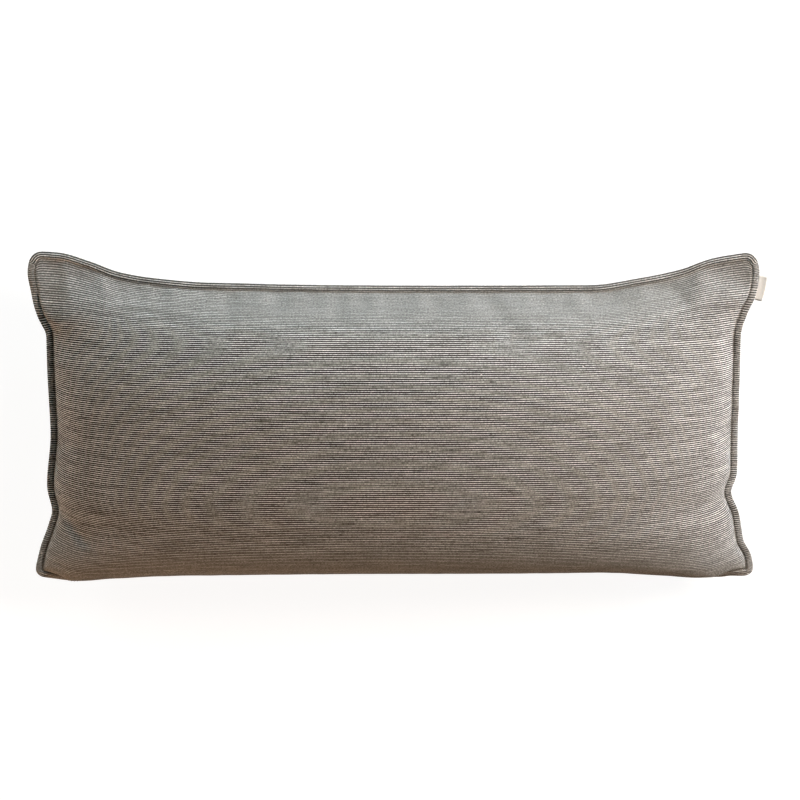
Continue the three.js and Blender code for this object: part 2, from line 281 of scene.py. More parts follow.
def crease_depth(x, y):
    """Depth of all creases at a point in plan: a bell across each one that fades at its ends."""
    depth = np.zeros_like(x)
    for from_x, from_y, to_x, to_y, deep, half_width in CREASES:
        run = np.array([to_x - from_x, to_y - from_y])
        length = np.hypot(*run)
        along = ((x - from_x) * run[0] + (y - from_y) * run[1]) / length
        across = ((x - from_x) * run[1] - (y - from_y) * run[0]) / length
        beyond = np.maximum(np.maximum(-along, along - length), 0)
        depth += deep * np.exp(-(across ** 2 + beyond ** 2) / half_width ** 2)
    return depth


def face_surface(sizes, s, t):
    """The front panel: the plan raised by the crown, and pushed over the lower seam by the belly."""
    x, y = plan(sizes, *rounded(sizes, s, t))
    down = 1 - 2 * t
    near_bottom = np.sqrt(np.maximum(1 - down ** 2, 0)) * ((1 + down) / 2) ** 2
    bulge = sizes.belly * near_bottom * np.sqrt(np.maximum(1 - (2 * s - 1) ** 6, 0))
    share = crown_share(s, t, CROWN_SKEW)
    height = sizes.seam_height + sizes.crown * share - crease_depth(x, y) * np.minimum(3 * share, 1)
    return np.stack([x, y - bulge, height], axis=-1)


def back_surface(sizes, s, t):
    """The back panel: flat on the floor where the crown is high, and rising to the seam round it."""
    x, y = plan(sizes, *rounded(sizes, s, t))
    share = np.minimum(crown_share(s, t, 0) / RESTING_SHARE, 1)
    return np.stack([x, y, (sizes.seam_height - HALF_FLANGE) * (1 - share) ** BACK_RISE], axis=-1)


def grid_normals(points):
    """Unit normals of a grid: the cross product of its two central differences."""
    normal = np.cross(np.gradient(points, axis=0), np.gradient(points, axis=1))
    return normal / np.maximum(np.linalg.norm(normal, axis=-1, keepdims=True), 1e-12)


def waves(place, around, shortest, longest, number, seed):
    """Sum of sines of unequal wavelengths that each repeat a whole number of times in a loop."""
    rng = np.random.default_rng(seed)
    counts = np.round(around / rng.uniform(shortest, longest, number))
    phases = rng.uniform(0, 2 * math.pi, number)
    angles = 2 * math.pi * counts * place[..., None] / around + phases
    return np.sin(angles).sum(axis=-1) / math.sqrt(number)


def cut_places(points):
    """Where each grid point was in the flat cloth: its length along the thread from the middle line,
    and the length across at the middle line, which is the same all along a thread."""
    middle = len(points) // 2
    steps = np.linalg.norm(np.diff(points, axis=0), axis=-1)
    along = np.concatenate([np.zeros((1, points.shape[1])), np.cumsum(steps, axis=0)])
    across = np.append(0, np.cumsum(np.linalg.norm(np.diff(points[middle], axis=0), axis=-1)))
    across = across - across[-1] / 2
    return np.stack([along - along[middle], np.broadcast_to(across, along.shape)], axis=-1)


def seam_distance(cut):
    """How far each point of a panel is from the nearest seam, measured in the flat cloth."""
    steps = np.stack([cut[..., 0] - cut[:1, :, 0], cut[-1:, :, 0] - cut[..., 0],
                      cut[..., 1] - cut[:, :1, 1], cut[:, -1:, 1] - cut[..., 1]])
    return steps.min(axis=0)


def border_indices():
    """Grid indices of a panel's border, anticlockwise from the lower left corner."""
    long, across = np.arange(LINES_LONG), np.arange(LINES_ACROSS)
    i = np.concatenate([long[:-1], 0 * across[:-1] + long[-1], long[:0:-1], 0 * across[1:]])
    j = np.concatenate([0 * long[:-1], across[:-1], 0 * long[1:] + across[-1], across[:0:-1]])
    return i, j


def mitred_normals(loop):
    """Outward normals of a closed loop in plan: the mean of the two sides' normals, lengthened so
    that an offset line keeps its distance from both."""
    side = np.roll(loop, -1, axis=0) - loop
    side = np.stack([side[:, 1], -side[:, 0]], axis=-1)
    side /= np.linalg.norm(side, axis=1, keepdims=True)
    mean = (side + np.roll(side, 1, axis=0)) / 2
    size = np.linalg.norm(mean, axis=1, keepdims=True)
    return mean / size, np.minimum(1 / size, MITRE_LIMIT)


class Seam:
    """The seam's loop of points, and the flange's outward and upward directions at each."""

    def __init__(self, sizes):
        s, t = np.meshgrid(crowded(LINES_LONG, CROWDING_LONG),
                           crowded(LINES_ACROSS, CROWDING_ACROSS), indexing="ij")
        self.s, self.t = s, t
        self.i, self.j = i, j = border_indices()
        x, y = plan(sizes, *rounded(sizes, s, t))
        loop = np.stack([x[i, j], y[i, j]], axis=-1)
        tilt = np.select(
            [j == LINES_ACROSS - 1, j == 0, i == 0],
            [TILT["top"](loop[:, 0]), TILT["bottom"](loop[:, 0]), TILT["left"](loop[:, 1])],
            TILT["right"](loop[:, 1]))[:, None]
        normal, mitre = mitred_normals(loop)
        normal = np.column_stack([normal, np.zeros(len(loop))])
        above = np.array([0, 0, 1.0])
        self.points = np.column_stack([loop, np.full(len(loop), sizes.seam_height)])
        self.out = normal * mitre * np.cos(tilt) + above * np.sin(tilt)
        self.up = above * np.cos(tilt) - normal * np.sin(tilt)
        steps = np.linalg.norm(np.roll(loop, -1, axis=0) - loop, axis=1)
        self.ripple = waves(np.append(0, np.cumsum(steps)[:-1]), steps.sum(),
                            shortest=22 * MM, longest=75 * MM, number=9, seed=3)

    def line(self, sizes, outward, upward):
        """One line round the flange, lifted by the ripples as it gets further out."""
        rise = upward + sizes.ripple * self.ripple * (outward / FLANGE_WIDTH) ** 1.5
        return self.points + self.out * outward + self.up * rise[:, None]

    def gathers(self, sizes, cut):
        """Depth of the gathers: the ripples of each edge carried into the panel and dying away, at
        half strength on the lower edge, and with their peak brought to about 1."""
        field = np.zeros(cut.shape[:2])
        low, high = cut.min(axis=(0, 1)), cut.max(axis=(0, 1))
        edges = (
            (self.j == 0, 0, cut[..., 1] - low[1], 0.5),
            (self.j == LINES_ACROSS - 1, 0, high[1] - cut[..., 1], 1.0),
            (self.i == 0, 1, cut[..., 0] - low[0], 1.0),
            (self.i == LINES_LONG - 1, 1, high[0] - cut[..., 0], 1.0),
        )
        for on_edge, axis, distance, strength in edges:
            index = (self.i, self.j)[axis][on_edge]
            line = np.zeros(cut.shape[axis])
            line[index] = self.ripple[on_edge]
            line = line[:, None] if axis == 0 else line[None, :]
            fading = np.exp(-distance / GATHERS_END) - np.exp(-distance / GATHERS_BEGIN)
            field += strength * line * fading
        return sizes.gather * 1.6 * field


def footprint_shift(points):
    """From the cushion's own middle to the row frame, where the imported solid's footprint is."""
    low, high = (np.array(corner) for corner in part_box("cushion"))
    middle = (points.min(axis=0) + points.max(axis=0)) / 2
    return np.append(((low + high) / 2 - middle)[:2], 0)


def make_mesh(name, points, faces, material, cut=None):
    """A new object at the origin from points, faces and, where given, each face corner's place in
    the flat cloth."""
    mesh = bpy.data.meshes.new(name)
    mesh.from_pydata(points.tolist(), [], faces.tolist())
    mesh.polygons.foreach_set("use_smooth", np.ones(len(mesh.polygons), dtype=bool))
    if cut is not None:
        layer = mesh.uv_layers.new(name="cut")
        layer.uv.foreach_set("vector", cut.reshape(-1).astype(np.float32))
    mesh.materials.append(material)
    mesh.validate()
    piece = bpy.data.objects.new(name, mesh)
    bpy.context.scene.collection.objects.link(piece)
    return piece


def finished(piece, slot, *nodes):
    """The piece on the cushion's one body, in the place of the CAD nodes that it replaces."""
    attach(piece, "root")
    if nodes:
        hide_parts(*nodes)
    return piece


def add_node(tree, kind, sockets=None, **settings):
    """Adds a node with its settings, fills or links its input sockets, and gives its outputs."""
    node = tree.nodes.new(kind)
    for setting, value in settings.items():
        setattr(node, setting, value)
    for socket, value in (sockets or {}).items():
        if isinstance(value, bpy.types.NodeSocket):
            tree.links.new(value, node.inputs[socket])
        else:
            node.inputs[socket].default_value = value
    return node.outputs


def new_material(name):
    """An empty node material, and its tree."""
    material = bpy.data.materials.new(name)
    material.use_nodes = True
    material.node_tree.nodes.clear()
    return material, material.node_tree


# The part of a stripe's repeat that its light yarns cover, and the undyed fibre's linear colour
LIGHT_SHARE = 0.27
NEP_COLOUR = (0.62, 0.6, 0.56, 1)


def light_lines(tree, place, axes, stripe):
    """Thin light lines along the length, thick and thin, bright and dull: the share of light yarn at
    each point, and the stripes' turn, a full circle in each repeat."""
    # Yarns wander by up to 0.35 mm over about 60 mm.
    stretched = add_node(tree, "ShaderNodeMapping", {"Vector": place, "Scale": (16, 90, 1)})[0]
    wander = add_node(tree, "ShaderNodeTexNoise", {"Vector": stretched, "Scale": 1, "Detail": 1})[0]
    across = add_node(tree, "ShaderNodeMath", {0: wander, 1: 0.7 * MM, 2: axes["Y"]},
                      operation="MULTIPLY_ADD")[0]
    repeat = add_node(tree, "ShaderNodeMath", {0: across, 1: 1 / stripe}, operation="MULTIPLY")[0]
    turn = add_node(tree, "ShaderNodeMath", {0: repeat, 1: 2 * math.pi}, operation="MULTIPLY")[0]
    wave = add_node(tree, "ShaderNodeMath", {0: turn}, operation="COSINE")[0]
    # Every line has its own place in the noises, so that no two are alike.
    shifted = add_node(tree, "ShaderNodeMath", {0: repeat, 1: 0.5}, operation="ADD")[0]
    line_number = add_node(tree, "ShaderNodeMath", {0: shifted}, operation="FLOOR")[0]
    row = add_node(tree, "ShaderNodeMath", {0: line_number, 1: 3.7}, operation="MULTIPLY")[0]
    yarn = add_node(tree, "ShaderNodeCombineXYZ", {"X": axes["X"], "Y": row})[0]
    # Each line is thick and thin along its length, in slubs of about 40 mm and dashes of about 6 mm,
    # and some lines are brighter than others, over about 40 mm of their length.
    slub, dash, shine = (
        add_node(tree, "ShaderNodeTexNoise", {
            "Vector": add_node(tree, "ShaderNodeMapping", {"Vector": yarn, "Scale": scale})[0],
            "Scale": 1, "Detail": detail})[0]
        for scale, detail in (((24, 1, 1), 2), ((160, 1.3, 1), 1), ((25, 2.1, 1), 1)))
    thick = add_node(tree, "ShaderNodeMath", {0: slub, 1: 0.8, 2: -0.65}, operation="MULTIPLY_ADD")[0]
    thick = add_node(tree, "ShaderNodeMath", {0: dash, 1: 0.5, 2: thick}, operation="MULTIPLY_ADD")[0]
    raised = add_node(tree, "ShaderNodeMath", {0: wave, 1: thick}, operation="ADD")[0]
    line = add_node(tree, "ShaderNodeMapRange", {"Value": raised, "From Min": 0.5, "From Max": 0.88},
                    interpolation_type="SMOOTHSTEP")[0]
    shine = add_node(tree, "ShaderNodeMapRange", {
        "Value": shine, "From Min": 0.3, "From Max": 0.7, "To Min": 0.75, "To Max": 1.35})[0]
    light_share = add_node(tree, "ShaderNodeMath", {0: line, 1: shine}, operation="MULTIPLY")[0]
    return light_share, turn


def sunk_share(tree, axes, reach):
    """How far the lines sink into the ground: most towards the upper seam, where the cloth looks
    plain grey, less so in the ears and on the flange, and a little towards the lower seam and the
    right end. The fading at the right end is painted light: it stands in for the strong light
    there washing the stripes out."""
    # The back's cloth is brought back to the front's.
    upright = add_node(tree, "ShaderNodeMath", {0: axes["Y"], 1: 0.5, 2: -0.5}, operation="WRAP")[0]
    under_seam = add_node(tree, "ShaderNodeMapRange", {
        "Value": upright, "From Min": reach - 78 * MM, "From Max": reach - 25 * MM, "To Max": 0.87},
        interpolation_type="SMOOTHSTEP")[0]
    on_flange = add_node(tree, "ShaderNodeMapRange", {
        "Value": upright, "From Min": reach - 1 * MM, "From Max": reach + 1 * MM, "To Min": 1.0,
        "To Max": 0.4})[0]
    along = add_node(tree, "ShaderNodeMath", {0: axes["X"], 1: 60 * MM}, operation="SUBTRACT")[0]
    along = add_node(tree, "ShaderNodeMath", {0: along}, operation="ABSOLUTE")[0]
    off_ear = add_node(tree, "ShaderNodeMapRange", {
        "Value": along, "From Min": 200 * MM, "From Max": 320 * MM, "To Min": 1.0, "To Max": 0.5},
        interpolation_type="SMOOTHSTEP")[0]
    over_seam = add_node(tree, "ShaderNodeMapRange", {
        "Value": upright, "From Min": 110 * MM - reach, "From Max": 60 * MM - reach, "To Max": 0.5})[0]
    # Painted light: the lines fade towards the right end, standing in for the strong light there
    # washing the stripes out.
    painted_washout_right = add_node(tree, "ShaderNodeMapRange", {
        "Value": axes["X"], "From Min": -50 * MM, "From Max": 360 * MM, "To Max": 0.22})[0]
    sunk = add_node(tree, "ShaderNodeMath", {0: under_seam, 1: on_flange}, operation="MULTIPLY")[0]
    sunk = add_node(tree, "ShaderNodeMath", {0: sunk, 1: off_ear, 2: over_seam},
                    operation="MULTIPLY_ADD")[0]
    return add_node(tree, "ShaderNodeMath", {0: sunk, 1: painted_washout_right}, operation="MAXIMUM")[0]


def cloth_tone(tree, place):
    """Light and dark patches that multiply the yarns' colour, around a mean of 1."""
    # Broad streaks, three stripes high and about 60 mm long.
    streak_place = add_node(tree, "ShaderNodeMapping", {"Vector": place, "Scale": (16, 150, 1)})[0]
    streak = add_node(tree, "ShaderNodeTexNoise", {"Vector": streak_place, "Scale": 1, "Detail": 2})[0]
    # Fibres and cross yarns mottle the cloth every 2 mm.
    grain_place = add_node(tree, "ShaderNodeMapping", {"Vector": place, "Scale": (480, 600, 1)})[0]
    grain = add_node(tree, "ShaderNodeTexNoise", {"Vector": grain_place, "Scale": 1, "Detail": 1})[0]
    tone = add_node(tree, "ShaderNodeMath", {0: streak, 1: 0.4, 2: -0.13}, operation="MULTIPLY_ADD")[0]
    return add_node(tree, "ShaderNodeMath", {0: grain, 1: 1.9, 2: tone}, operation="MULTIPLY_ADD")[0]


def nep_share(tree, place):
    """White neps: one fibre tuft of about 1.5 mm in each 1400 squares of that size."""
    stretched = add_node(tree, "ShaderNodeMapping", {"Vector": place, "Scale": (600, 800, 1)})[0]
    square = add_node(tree, "ShaderNodeVectorMath", {0: stretched}, operation="FLOOR")[0]
    chance = add_node(tree, "ShaderNodeTexWhiteNoise", {"Vector": square}, noise_dimensions="2D")[0]
    return add_node(tree, "ShaderNodeMapRange",
                    {"Value": chance, "From Min": 0.9993, "From Max": 1.0, "To Max": 0.8})[0]


def weave_bump(tree, axes, turn):
    """Four yarns side by side in a stripe's repeat, and cross yarns every 0.9 mm."""
    yarn_turn = add_node(tree, "ShaderNodeMath", {0: turn, 1: 4.0}, operation="MULTIPLY")[0]
    yarn_height = add_node(tree, "ShaderNodeMath", {0: yarn_turn}, operation="COSINE")[0]
    cross_turn = add_node(tree, "ShaderNodeMath", {0: axes["X"], 1: 2 * math.pi / (0.9 * MM)},
                          operation="MULTIPLY")[0]
    cross_height = add_node(tree, "ShaderNodeMath", {0: cross_turn}, operation="COSINE")[0]
    height = add_node(tree, "ShaderNodeMath", {0: yarn_height, 1: cross_height}, operation="ADD")[0]
    return add_node(tree, "ShaderNodeBump",
                    {"Height": height, "Strength": 0.25, "Distance": 0.1 * MM})[0]


def woven_stripe(sizes, colours, reach):
    """Yarn-dyed cotton and linen, woven plain and unglazed: thin light lines on a dark ground run
    along the length, uneven in thickness and tone, which gives a dry, finely striped, slubby face.
    The reach is half the panel's width in the flat cloth."""
    material, tree = new_material("woven_striped_cotton_linen")
    place = add_node(tree, "ShaderNodeUVMap", uv_map="cut")["UV"]
    axes = add_node(tree, "ShaderNodeSeparateXYZ", {0: place})
    light_share, turn = light_lines(tree, place, axes, sizes.stripe)
    light_share = add_node(
        tree, "ShaderNodeMix", {0: sunk_share(tree, axes, reach), 2: light_share, 3: LIGHT_SHARE},
        data_type="FLOAT")[0]
    striped = add_node(tree, "ShaderNodeMix",
                       {0: light_share, 6: colours.dark_yarn, 7: colours.light_yarn},
                       data_type="RGBA")[2]
    toned = add_node(tree, "ShaderNodeVectorMath", {0: striped, "Scale": cloth_tone(tree, place)},
                     operation="SCALE")[0]
    cloth = add_node(tree, "ShaderNodeMix",
                     {0: nep_share(tree, place), 6: toned, 7: NEP_COLOUR}, data_type="RGBA")[2]
    shader = add_node(tree, "ShaderNodeBsdfPrincipled", {
        "Base Color": cloth, "Normal": weave_bump(tree, axes, turn), "Roughness": 0.9, "IOR": 1.5,
        "Specular IOR Level": 0.25, "Sheen Weight": 0.08, "Sheen Roughness": 0.5})[0]
    add_node(tree, "ShaderNodeOutputMaterial", {"Surface": shader})
    return material


def speckled(tree, place, colour, scale, low, high):
    """A colour multiplied by a fine noise, between a low and a high tone."""
    speckle = add_node(tree, "ShaderNodeTexNoise", {"Vector": place, "Scale": scale})[0]
    tone = add_node(tree, "ShaderNodeMapRange", {"Value": speckle, "To Min": low, "To Max": high})[0]
    return add_node(tree, "ShaderNodeVectorMath", {0: colour[:3], "Scale": tone},
                    operation="SCALE")[0]


def spun_thread(colours):
    """Spun polyester sewing thread, two-ply: fine slanted ridges and a soft shine."""
    material, tree = new_material("spun_polyester_thread")
    place = add_node(tree, "ShaderNodeTexCoord")["Object"]
    turned = add_node(tree, "ShaderNodeMapping", {"Vector": place, "Rotation": (0, 0, 0.7)})[0]
    # Plies cross the thread every 0.5 mm.
    ply = add_node(tree, "ShaderNodeTexWave", {"Vector": turned, "Scale": 318.0})["Fac"]
    colour = speckled(tree, place, colours.thread, 90.0, 0.75, 1.25)
    bump = add_node(tree, "ShaderNodeBump", {"Height": ply, "Strength": 0.4, "Distance": 0.08 * MM})[0]
    shader = add_node(tree, "ShaderNodeBsdfPrincipled", {
        "Base Color": colour, "Normal": bump, "Roughness": 0.6, "IOR": 1.5})[0]
    add_node(tree, "ShaderNodeOutputMaterial", {"Surface": shader})
    return material


def woven_tape(colours):
    """Polyester label tape, woven close: smooth and pale with fine ribs across and a faint shine."""
    material, tree = new_material("woven_polyester_tape")
    place = add_node(tree, "ShaderNodeUVMap", uv_map="cut")["UV"]
    axes = add_node(tree, "ShaderNodeSeparateXYZ", {0: place})
    # Ribs every 0.5 mm, coarser than the real 0.15 mm so that they show.
    rib_turn = add_node(tree, "ShaderNodeMath", {0: axes["X"], 1: 2 * math.pi / (0.5 * MM)},
                        operation="MULTIPLY")[0]
    rib = add_node(tree, "ShaderNodeMath", {0: rib_turn}, operation="COSINE")[0]
    colour = speckled(tree, place, colours.label, 350.0, 0.9, 1.08)
    bump = add_node(tree, "ShaderNodeBump", {"Height": rib, "Strength": 0.3, "Distance": 0.05 * MM})[0]
    shader = add_node(tree, "ShaderNodeBsdfPrincipled", {
        "Base Color": colour, "Normal": bump, "Roughness": 0.7, "IOR": 1.5})[0]
    add_node(tree, "ShaderNodeOutputMaterial", {"Surface": shader})
    return material


def grid_quads(numbers):
    """Quads between the lines of a grid of point numbers."""
    corners = [numbers[:-1, :-1], numbers[1:, :-1], numbers[1:, 1:], numbers[:-1, 1:]]
    return np.stack(corners, axis=-1).reshape(-1, 4)


def closed_quads(loops):
    """Quads between closed lines of point numbers, one line in each row."""
    return grid_quads(np.column_stack([loops, loops[:, 0]]))


def ring_cuts(inner):
    """Places in the flat cloth for the corners of a ring that is seen edge on: its inner line's."""
    ahead = np.roll(inner, -1, axis=0)
    return np.stack([inner, inner, ahead, ahead], axis=1)


def short_front(sizes, seam):
    """The front panel with its gathers, made short of its full height, with its places in the flat
    cloth, and the swell that says where the filling pushes each point."""
    panel = face_surface(sizes, seam.s, seam.t)
    cut, normal = cut_places(panel), grid_normals(panel)
    depth = sizes.swell * (1 - np.exp(-seam_distance(cut) / SWELL_REACH))
    swell = normal * depth[..., None]
    return panel + normal * seam.gathers(sizes, cut)[..., None] - swell, cut, swell.reshape(-1, 3)


def panel_skin(sizes, seam, panel, cut, rows, face_up):
    """A panel carried on past the seam into its own side of the flange: points, their places in the
    flat cloth, faces, and the numbers of the outermost line's points."""
    i, j = seam.i, seam.j
    lines = [seam.line(sizes, outward, upward) for outward, upward in rows]
    panel[i, j] = lines[0]
    cut_normal, cut_mitre = mitred_normals(cut[i, j])
    cut_lines = [cut[i, j] + cut_normal * cut_mitre * outward for outward in rows[1:, 0]]
    points = np.concatenate([panel.reshape(-1, 3), *lines[1:]])
    cuts = np.concatenate([cut.reshape(-1, 2), *cut_lines])
    grid = np.arange(LINES_LONG * LINES_ACROSS).reshape(LINES_LONG, LINES_ACROSS)
    loops = np.arange(grid.size, len(points)).reshape(len(cut_lines), len(i))
    faces = np.concatenate([grid_quads(grid), closed_quads(np.stack([grid[i, j], *loops]))])
    return points, cuts, faces if face_up else faces[:, ::-1], loops[-1]


# How far the back's cloth lies from the front's in the flat cloth
BACK_CLOTH = np.array([0, 1.0])


def cover_shape(sizes, seam):
    """The cover as one closed skin: front panel, flange and back panel, with each face corner's
    place in the flat cloth, and the swell of each point."""
    front, cut, swell = short_front(sizes, seam)
    front, front_cut, front_faces, front_edge = panel_skin(sizes, seam, front, cut, FLANGE_FACE, True)
    back = back_surface(sizes, seam.s, seam.t)
    back, back_cut, back_faces, back_edge = panel_skin(
        sizes, seam, back, cut_places(back), FLANGE_BACK, False)
    back_cut = back_cut + BACK_CLOTH
    groove = len(front) + len(back) + np.arange(len(front_edge))
    points = np.concatenate([front, back, seam.line(sizes, GROOVE, 0)])
    faces = np.concatenate([
        front_faces, back_faces + len(front),
        closed_quads(np.stack([front_edge, groove, back_edge + len(front)]))])
    cuts = np.concatenate([front_cut[front_faces], back_cut[back_faces],
                           ring_cuts(front_cut[front_edge]), ring_cuts(back_cut[back_edge])])
    still = np.zeros((len(points) - len(swell), 3))
    return points, faces, cuts, np.concatenate([swell, still])


# Frames of the filling's simulation, and the share by which the cloth is larger than its room
FILLING_STEPS = 20
CLOTH_TO_SPARE = 0.012


def filled(piece, swell, loose, most):
    """The cover as cloth blown up from inside: pressure without gravity on cloth that is a little
    larger than the room it has, so that it folds beside the seams. Only the points that swell are
    free. No point moves further than given, and the loose share of each move is kept: elsewhere the
    filling presses the folds out, and the point follows its swell."""
    mesh = piece.data
    before = np.empty(len(mesh.vertices) * 3)
    mesh.vertices.foreach_get("co", before)
    moved = swell
    scene = bpy.context.scene
    group = piece.vertex_groups.new(name="held")
    group.add(np.flatnonzero(~swell.any(axis=1)).tolist(), 1.0, "REPLACE")
    cloth = piece.modifiers.new("filling", "CLOTH")
    cloth.settings.vertex_group_mass = "held"
    cloth.settings.use_pressure = True
    cloth.settings.uniform_pressure_force = 4
    cloth.settings.shrink_min = -CLOTH_TO_SPARE
    cloth.settings.bending_stiffness = 20
    cloth.settings.effector_weights.gravity = 0
    cloth.settings.quality = 6
    cloth.point_cache.frame_start, cloth.point_cache.frame_end = 1, FILLING_STEPS
    for step in range(1, FILLING_STEPS + 1):
        scene.frame_set(step)
    settled = piece.evaluated_get(bpy.context.evaluated_depsgraph_get()).data
    after = np.empty_like(before)
    settled.vertices.foreach_get("co", after)
    piece.modifiers.remove(cloth)
    piece.vertex_groups.remove(group)
    scene.frame_set(1)
    moved = (after - before).reshape(-1, 3)
    size = np.linalg.norm(moved, axis=1, keepdims=True)
    moved = moved * most * np.tanh(size / most) / np.maximum(size, 1e-9)
    moved = loose[:, None] * moved + (1 - loose[:, None]) * swell
    mesh.vertices.foreach_set("co", (before.reshape(-1, 3) + moved).reshape(-1))
    mesh.update()


def stitch_shape(sizes, starts, ends, ups):
    """Topstitches as small arches: each a closed tube of six rings and six sides whose centreline
    rises as a half wave between its two needle holes, and whose ends taper into the cloth."""
    along = np.linspace(0, 1, 6)
    taper = np.array([0.35, 0.9, 1, 1, 0.9, 0.35])
    radius = sizes.thread / 2 * taper
    rise = sizes.thread * 0.9 * np.sin(math.pi * along)
    angle = np.arange(6) * math.pi / 3
    run = ends - starts
    side = np.cross(ups, run)
    side /= np.linalg.norm(side, axis=1, keepdims=True)
    centre = (starts[:, None] + run[:, None] * along[None, :, None]
              + ups[:, None] * rise[None, :, None])
    points = (centre[:, :, None]
              + side[:, None, None] * (radius[:, None] * np.cos(angle))[None, :, :, None]
              + ups[:, None, None] * (radius[:, None] * np.sin(angle))[None, :, :, None])
    tube = np.arange(36).reshape(6, 6)
    # Two quads close the six points at each end.
    first_end, last_end = tube[0, [0, 5, 4, 3, 0, 3, 2, 1]], tube[-1, [0, 1, 2, 3, 0, 3, 4, 5]]
    one = np.concatenate([
        closed_quads(tube)[:, [0, 3, 2, 1]], first_end.reshape(2, 4), last_end.reshape(2, 4)])
    offsets = tube.size * np.arange(len(starts))
    return points.reshape(-1, 3), (one[None] + offsets[:, None, None]).reshape(-1, 4)


def stitched_line(sizes, seam, upward):
    """Stitch ends round the seam at even steps: a stitch, then a fifth of its length as the gap of
    a needle hole."""
    line = seam.points + seam.up * upward
    closed = np.concatenate([line, line[:1]])
    ups = np.concatenate([seam.up, seam.up[:1]]) * np.sign(upward)
    place = np.append(0, np.cumsum(np.linalg.norm(np.diff(closed, axis=0), axis=1)))
    count = int(place[-1] / (sizes.stitch * 1.2))
    start = np.arange(count) * place[-1] / count
    both = [np.stack([np.interp(start + shift, place, closed[:, k]) for k in range(3)], axis=-1)
            for shift in (0, sizes.stitch)]
    up = np.stack([np.interp(start, place, ups[:, k]) for k in range(3)], axis=-1)
    return both[0], both[1], up / np.linalg.norm(up, axis=1, keepdims=True)


def folded_section(half):
    """One skin of the folded tape: out from the sewn edge, round the fold and back."""
    run, level = np.linspace(-LABEL_SEWN_IN, LABEL_RUN, 8), np.full(8, half)
    turn = np.linspace(math.pi / 2, -math.pi / 2, 7)[1:-1]
    fold = np.column_stack([LABEL_RUN + half * np.cos(turn), half * np.sin(turn)])
    return np.concatenate([np.column_stack([run, level]), fold, np.column_stack([run[::-1], -level])])


def label_shape(seam):
    """The label: the folded tape's outer and inner skin, carried along the edge for its width,
    lifted a little towards its free corner, and closed along its rims and its sewn ends."""
    right = np.flatnonzero(seam.i == LINES_LONG - 1)
    tips = seam.points[right] + seam.out[right] * FLANGE_WIDTH
    y = np.linspace(LABEL_LOW, LABEL_HIGH, 13)
    tip = np.stack([np.interp(y, tips[:, 1], tips[:, k]) for k in range(3)], axis=-1)
    middle = right[np.abs(tips[:, 1] - (LABEL_LOW + LABEL_HIGH) / 2).argmin()]
    out, up = seam.out[middle], seam.up[middle]
    share = np.linspace(0, 1, len(y))[:, None]
    section = np.stack([folded_section(LABEL_OUTSIDE), folded_section(LABEL_INSIDE)])
    away = np.maximum(section[..., 0], 0)[:, None]
    # The fold lifts by 0.4 mm at one end and by 1.9 mm at the other, with a slight wave.
    bend = 18 * away ** 2 * (0.3 + share) + 0.25 * MM * np.sin(5 * share) * away / (10 * MM)
    points = (tip[None, :, None] + out * section[:, None, :, :1]
              + up * (section[:, None, :, 1:] + bend[..., None]))
    g = np.arange(points[..., 0].size).reshape(points.shape[:3])
    # Outer skin, inner skin, lower rim, upper rim and the two sewn ends
    faces = np.concatenate([
        grid_quads(g[0])[:, ::-1], grid_quads(g[1]), grid_quads(g[:, 0]), grid_quads(g[:, -1])[:, ::-1],
        grid_quads(g[..., 0])[:, ::-1], grid_quads(g[..., -1])])
    place = np.append(0, np.cumsum(np.linalg.norm(np.diff(section[0], axis=0), axis=1)))
    flat = np.stack(np.broadcast_arrays(place[None, None, :], y[None, :, None], points[..., 0])[:2],
                    axis=-1).reshape(-1, 2)
    return points.reshape(-1, 3), faces, flat[faces]


def turned_out(piece):
    """Checks a closed piece's volume by the divergence sum, and turns its faces if it is negative."""
    mesh = piece.data
    mesh.calc_loop_triangles()
    corners = np.empty(len(mesh.loop_triangles) * 3, dtype=np.int32)
    mesh.loop_triangles.foreach_get("vertices", corners)
    points = np.empty(len(mesh.vertices) * 3)
    mesh.vertices.foreach_get("co", points)
    a, b, c = points.reshape(-1, 3)[corners.reshape(-1, 3)].transpose(1, 0, 2)
    if np.einsum("ij,ij->i", a, np.cross(b, c)).sum() < 0:
        mesh.flip_normals()
    return piece


class CUSHION_OT_cover(bpy.types.Operator):
    """Makes the striped cover with its filling and its flange"""
    bl_idname = "cushion.cover"
    bl_label = "Cover"

    def execute(self, context):
        sizes, colours = context.scene.cushion_sizes, context.scene.cushion_colours
        seam = Seam(sizes)
        points, faces, cut, swell = cover_shape(sizes, seam)
        points = points + footprint_shift(points)
        reach = cut[..., 1][cut[..., 1] < BACK_CLOTH[1] / 2].max() - FLANGE_WIDTH
        cover = make_mesh("cushion_cover", points, faces, woven_stripe(sizes, colours, reach), cut)
        depth = seam_distance(cut_places(face_surface(sizes, seam.s, seam.t)))
        # The upper half keeps its folds, and the lowest quarter has none.
        upper = np.clip(4 * seam.t - 1, 0, 1)
        loose = np.zeros(len(points))
        loose[:depth.size] = (upper * np.exp(-(depth / FOLDS_REACH) ** 2)).reshape(-1)
        filled(turned_out(cover), swell, loose, most=3 * MM)
        rounding = cover.modifiers.new("smooth cloth", "SUBSURF")
        rounding.levels = rounding.render_levels = 1
        finished(cover, "striped_cloth", "cushion")
        return {"FINISHED"}


class CUSHION_OT_topstitching(bpy.types.Operator):
    """Makes the rows of stitches along the flange's root, on the face and on the back"""
    bl_idname = "cushion.topstitching"
    bl_label = "Topstitching"

    def execute(self, context):
        sizes, colours = context.scene.cushion_sizes, context.scene.cushion_colours
        seam = Seam(sizes)
        shift = footprint_shift(cover_shape(sizes, seam)[0])
        material = spun_thread(colours)
        for name, upward in (("topstitching_face", STITCH_LIFT), ("topstitching_back", -STITCH_LIFT)):
            points, faces = stitch_shape(sizes, *stitched_line(sizes, seam, upward))
            finished(turned_out(make_mesh(name, points + shift, faces, material)), "striped_cloth")
        return {"FINISHED"}


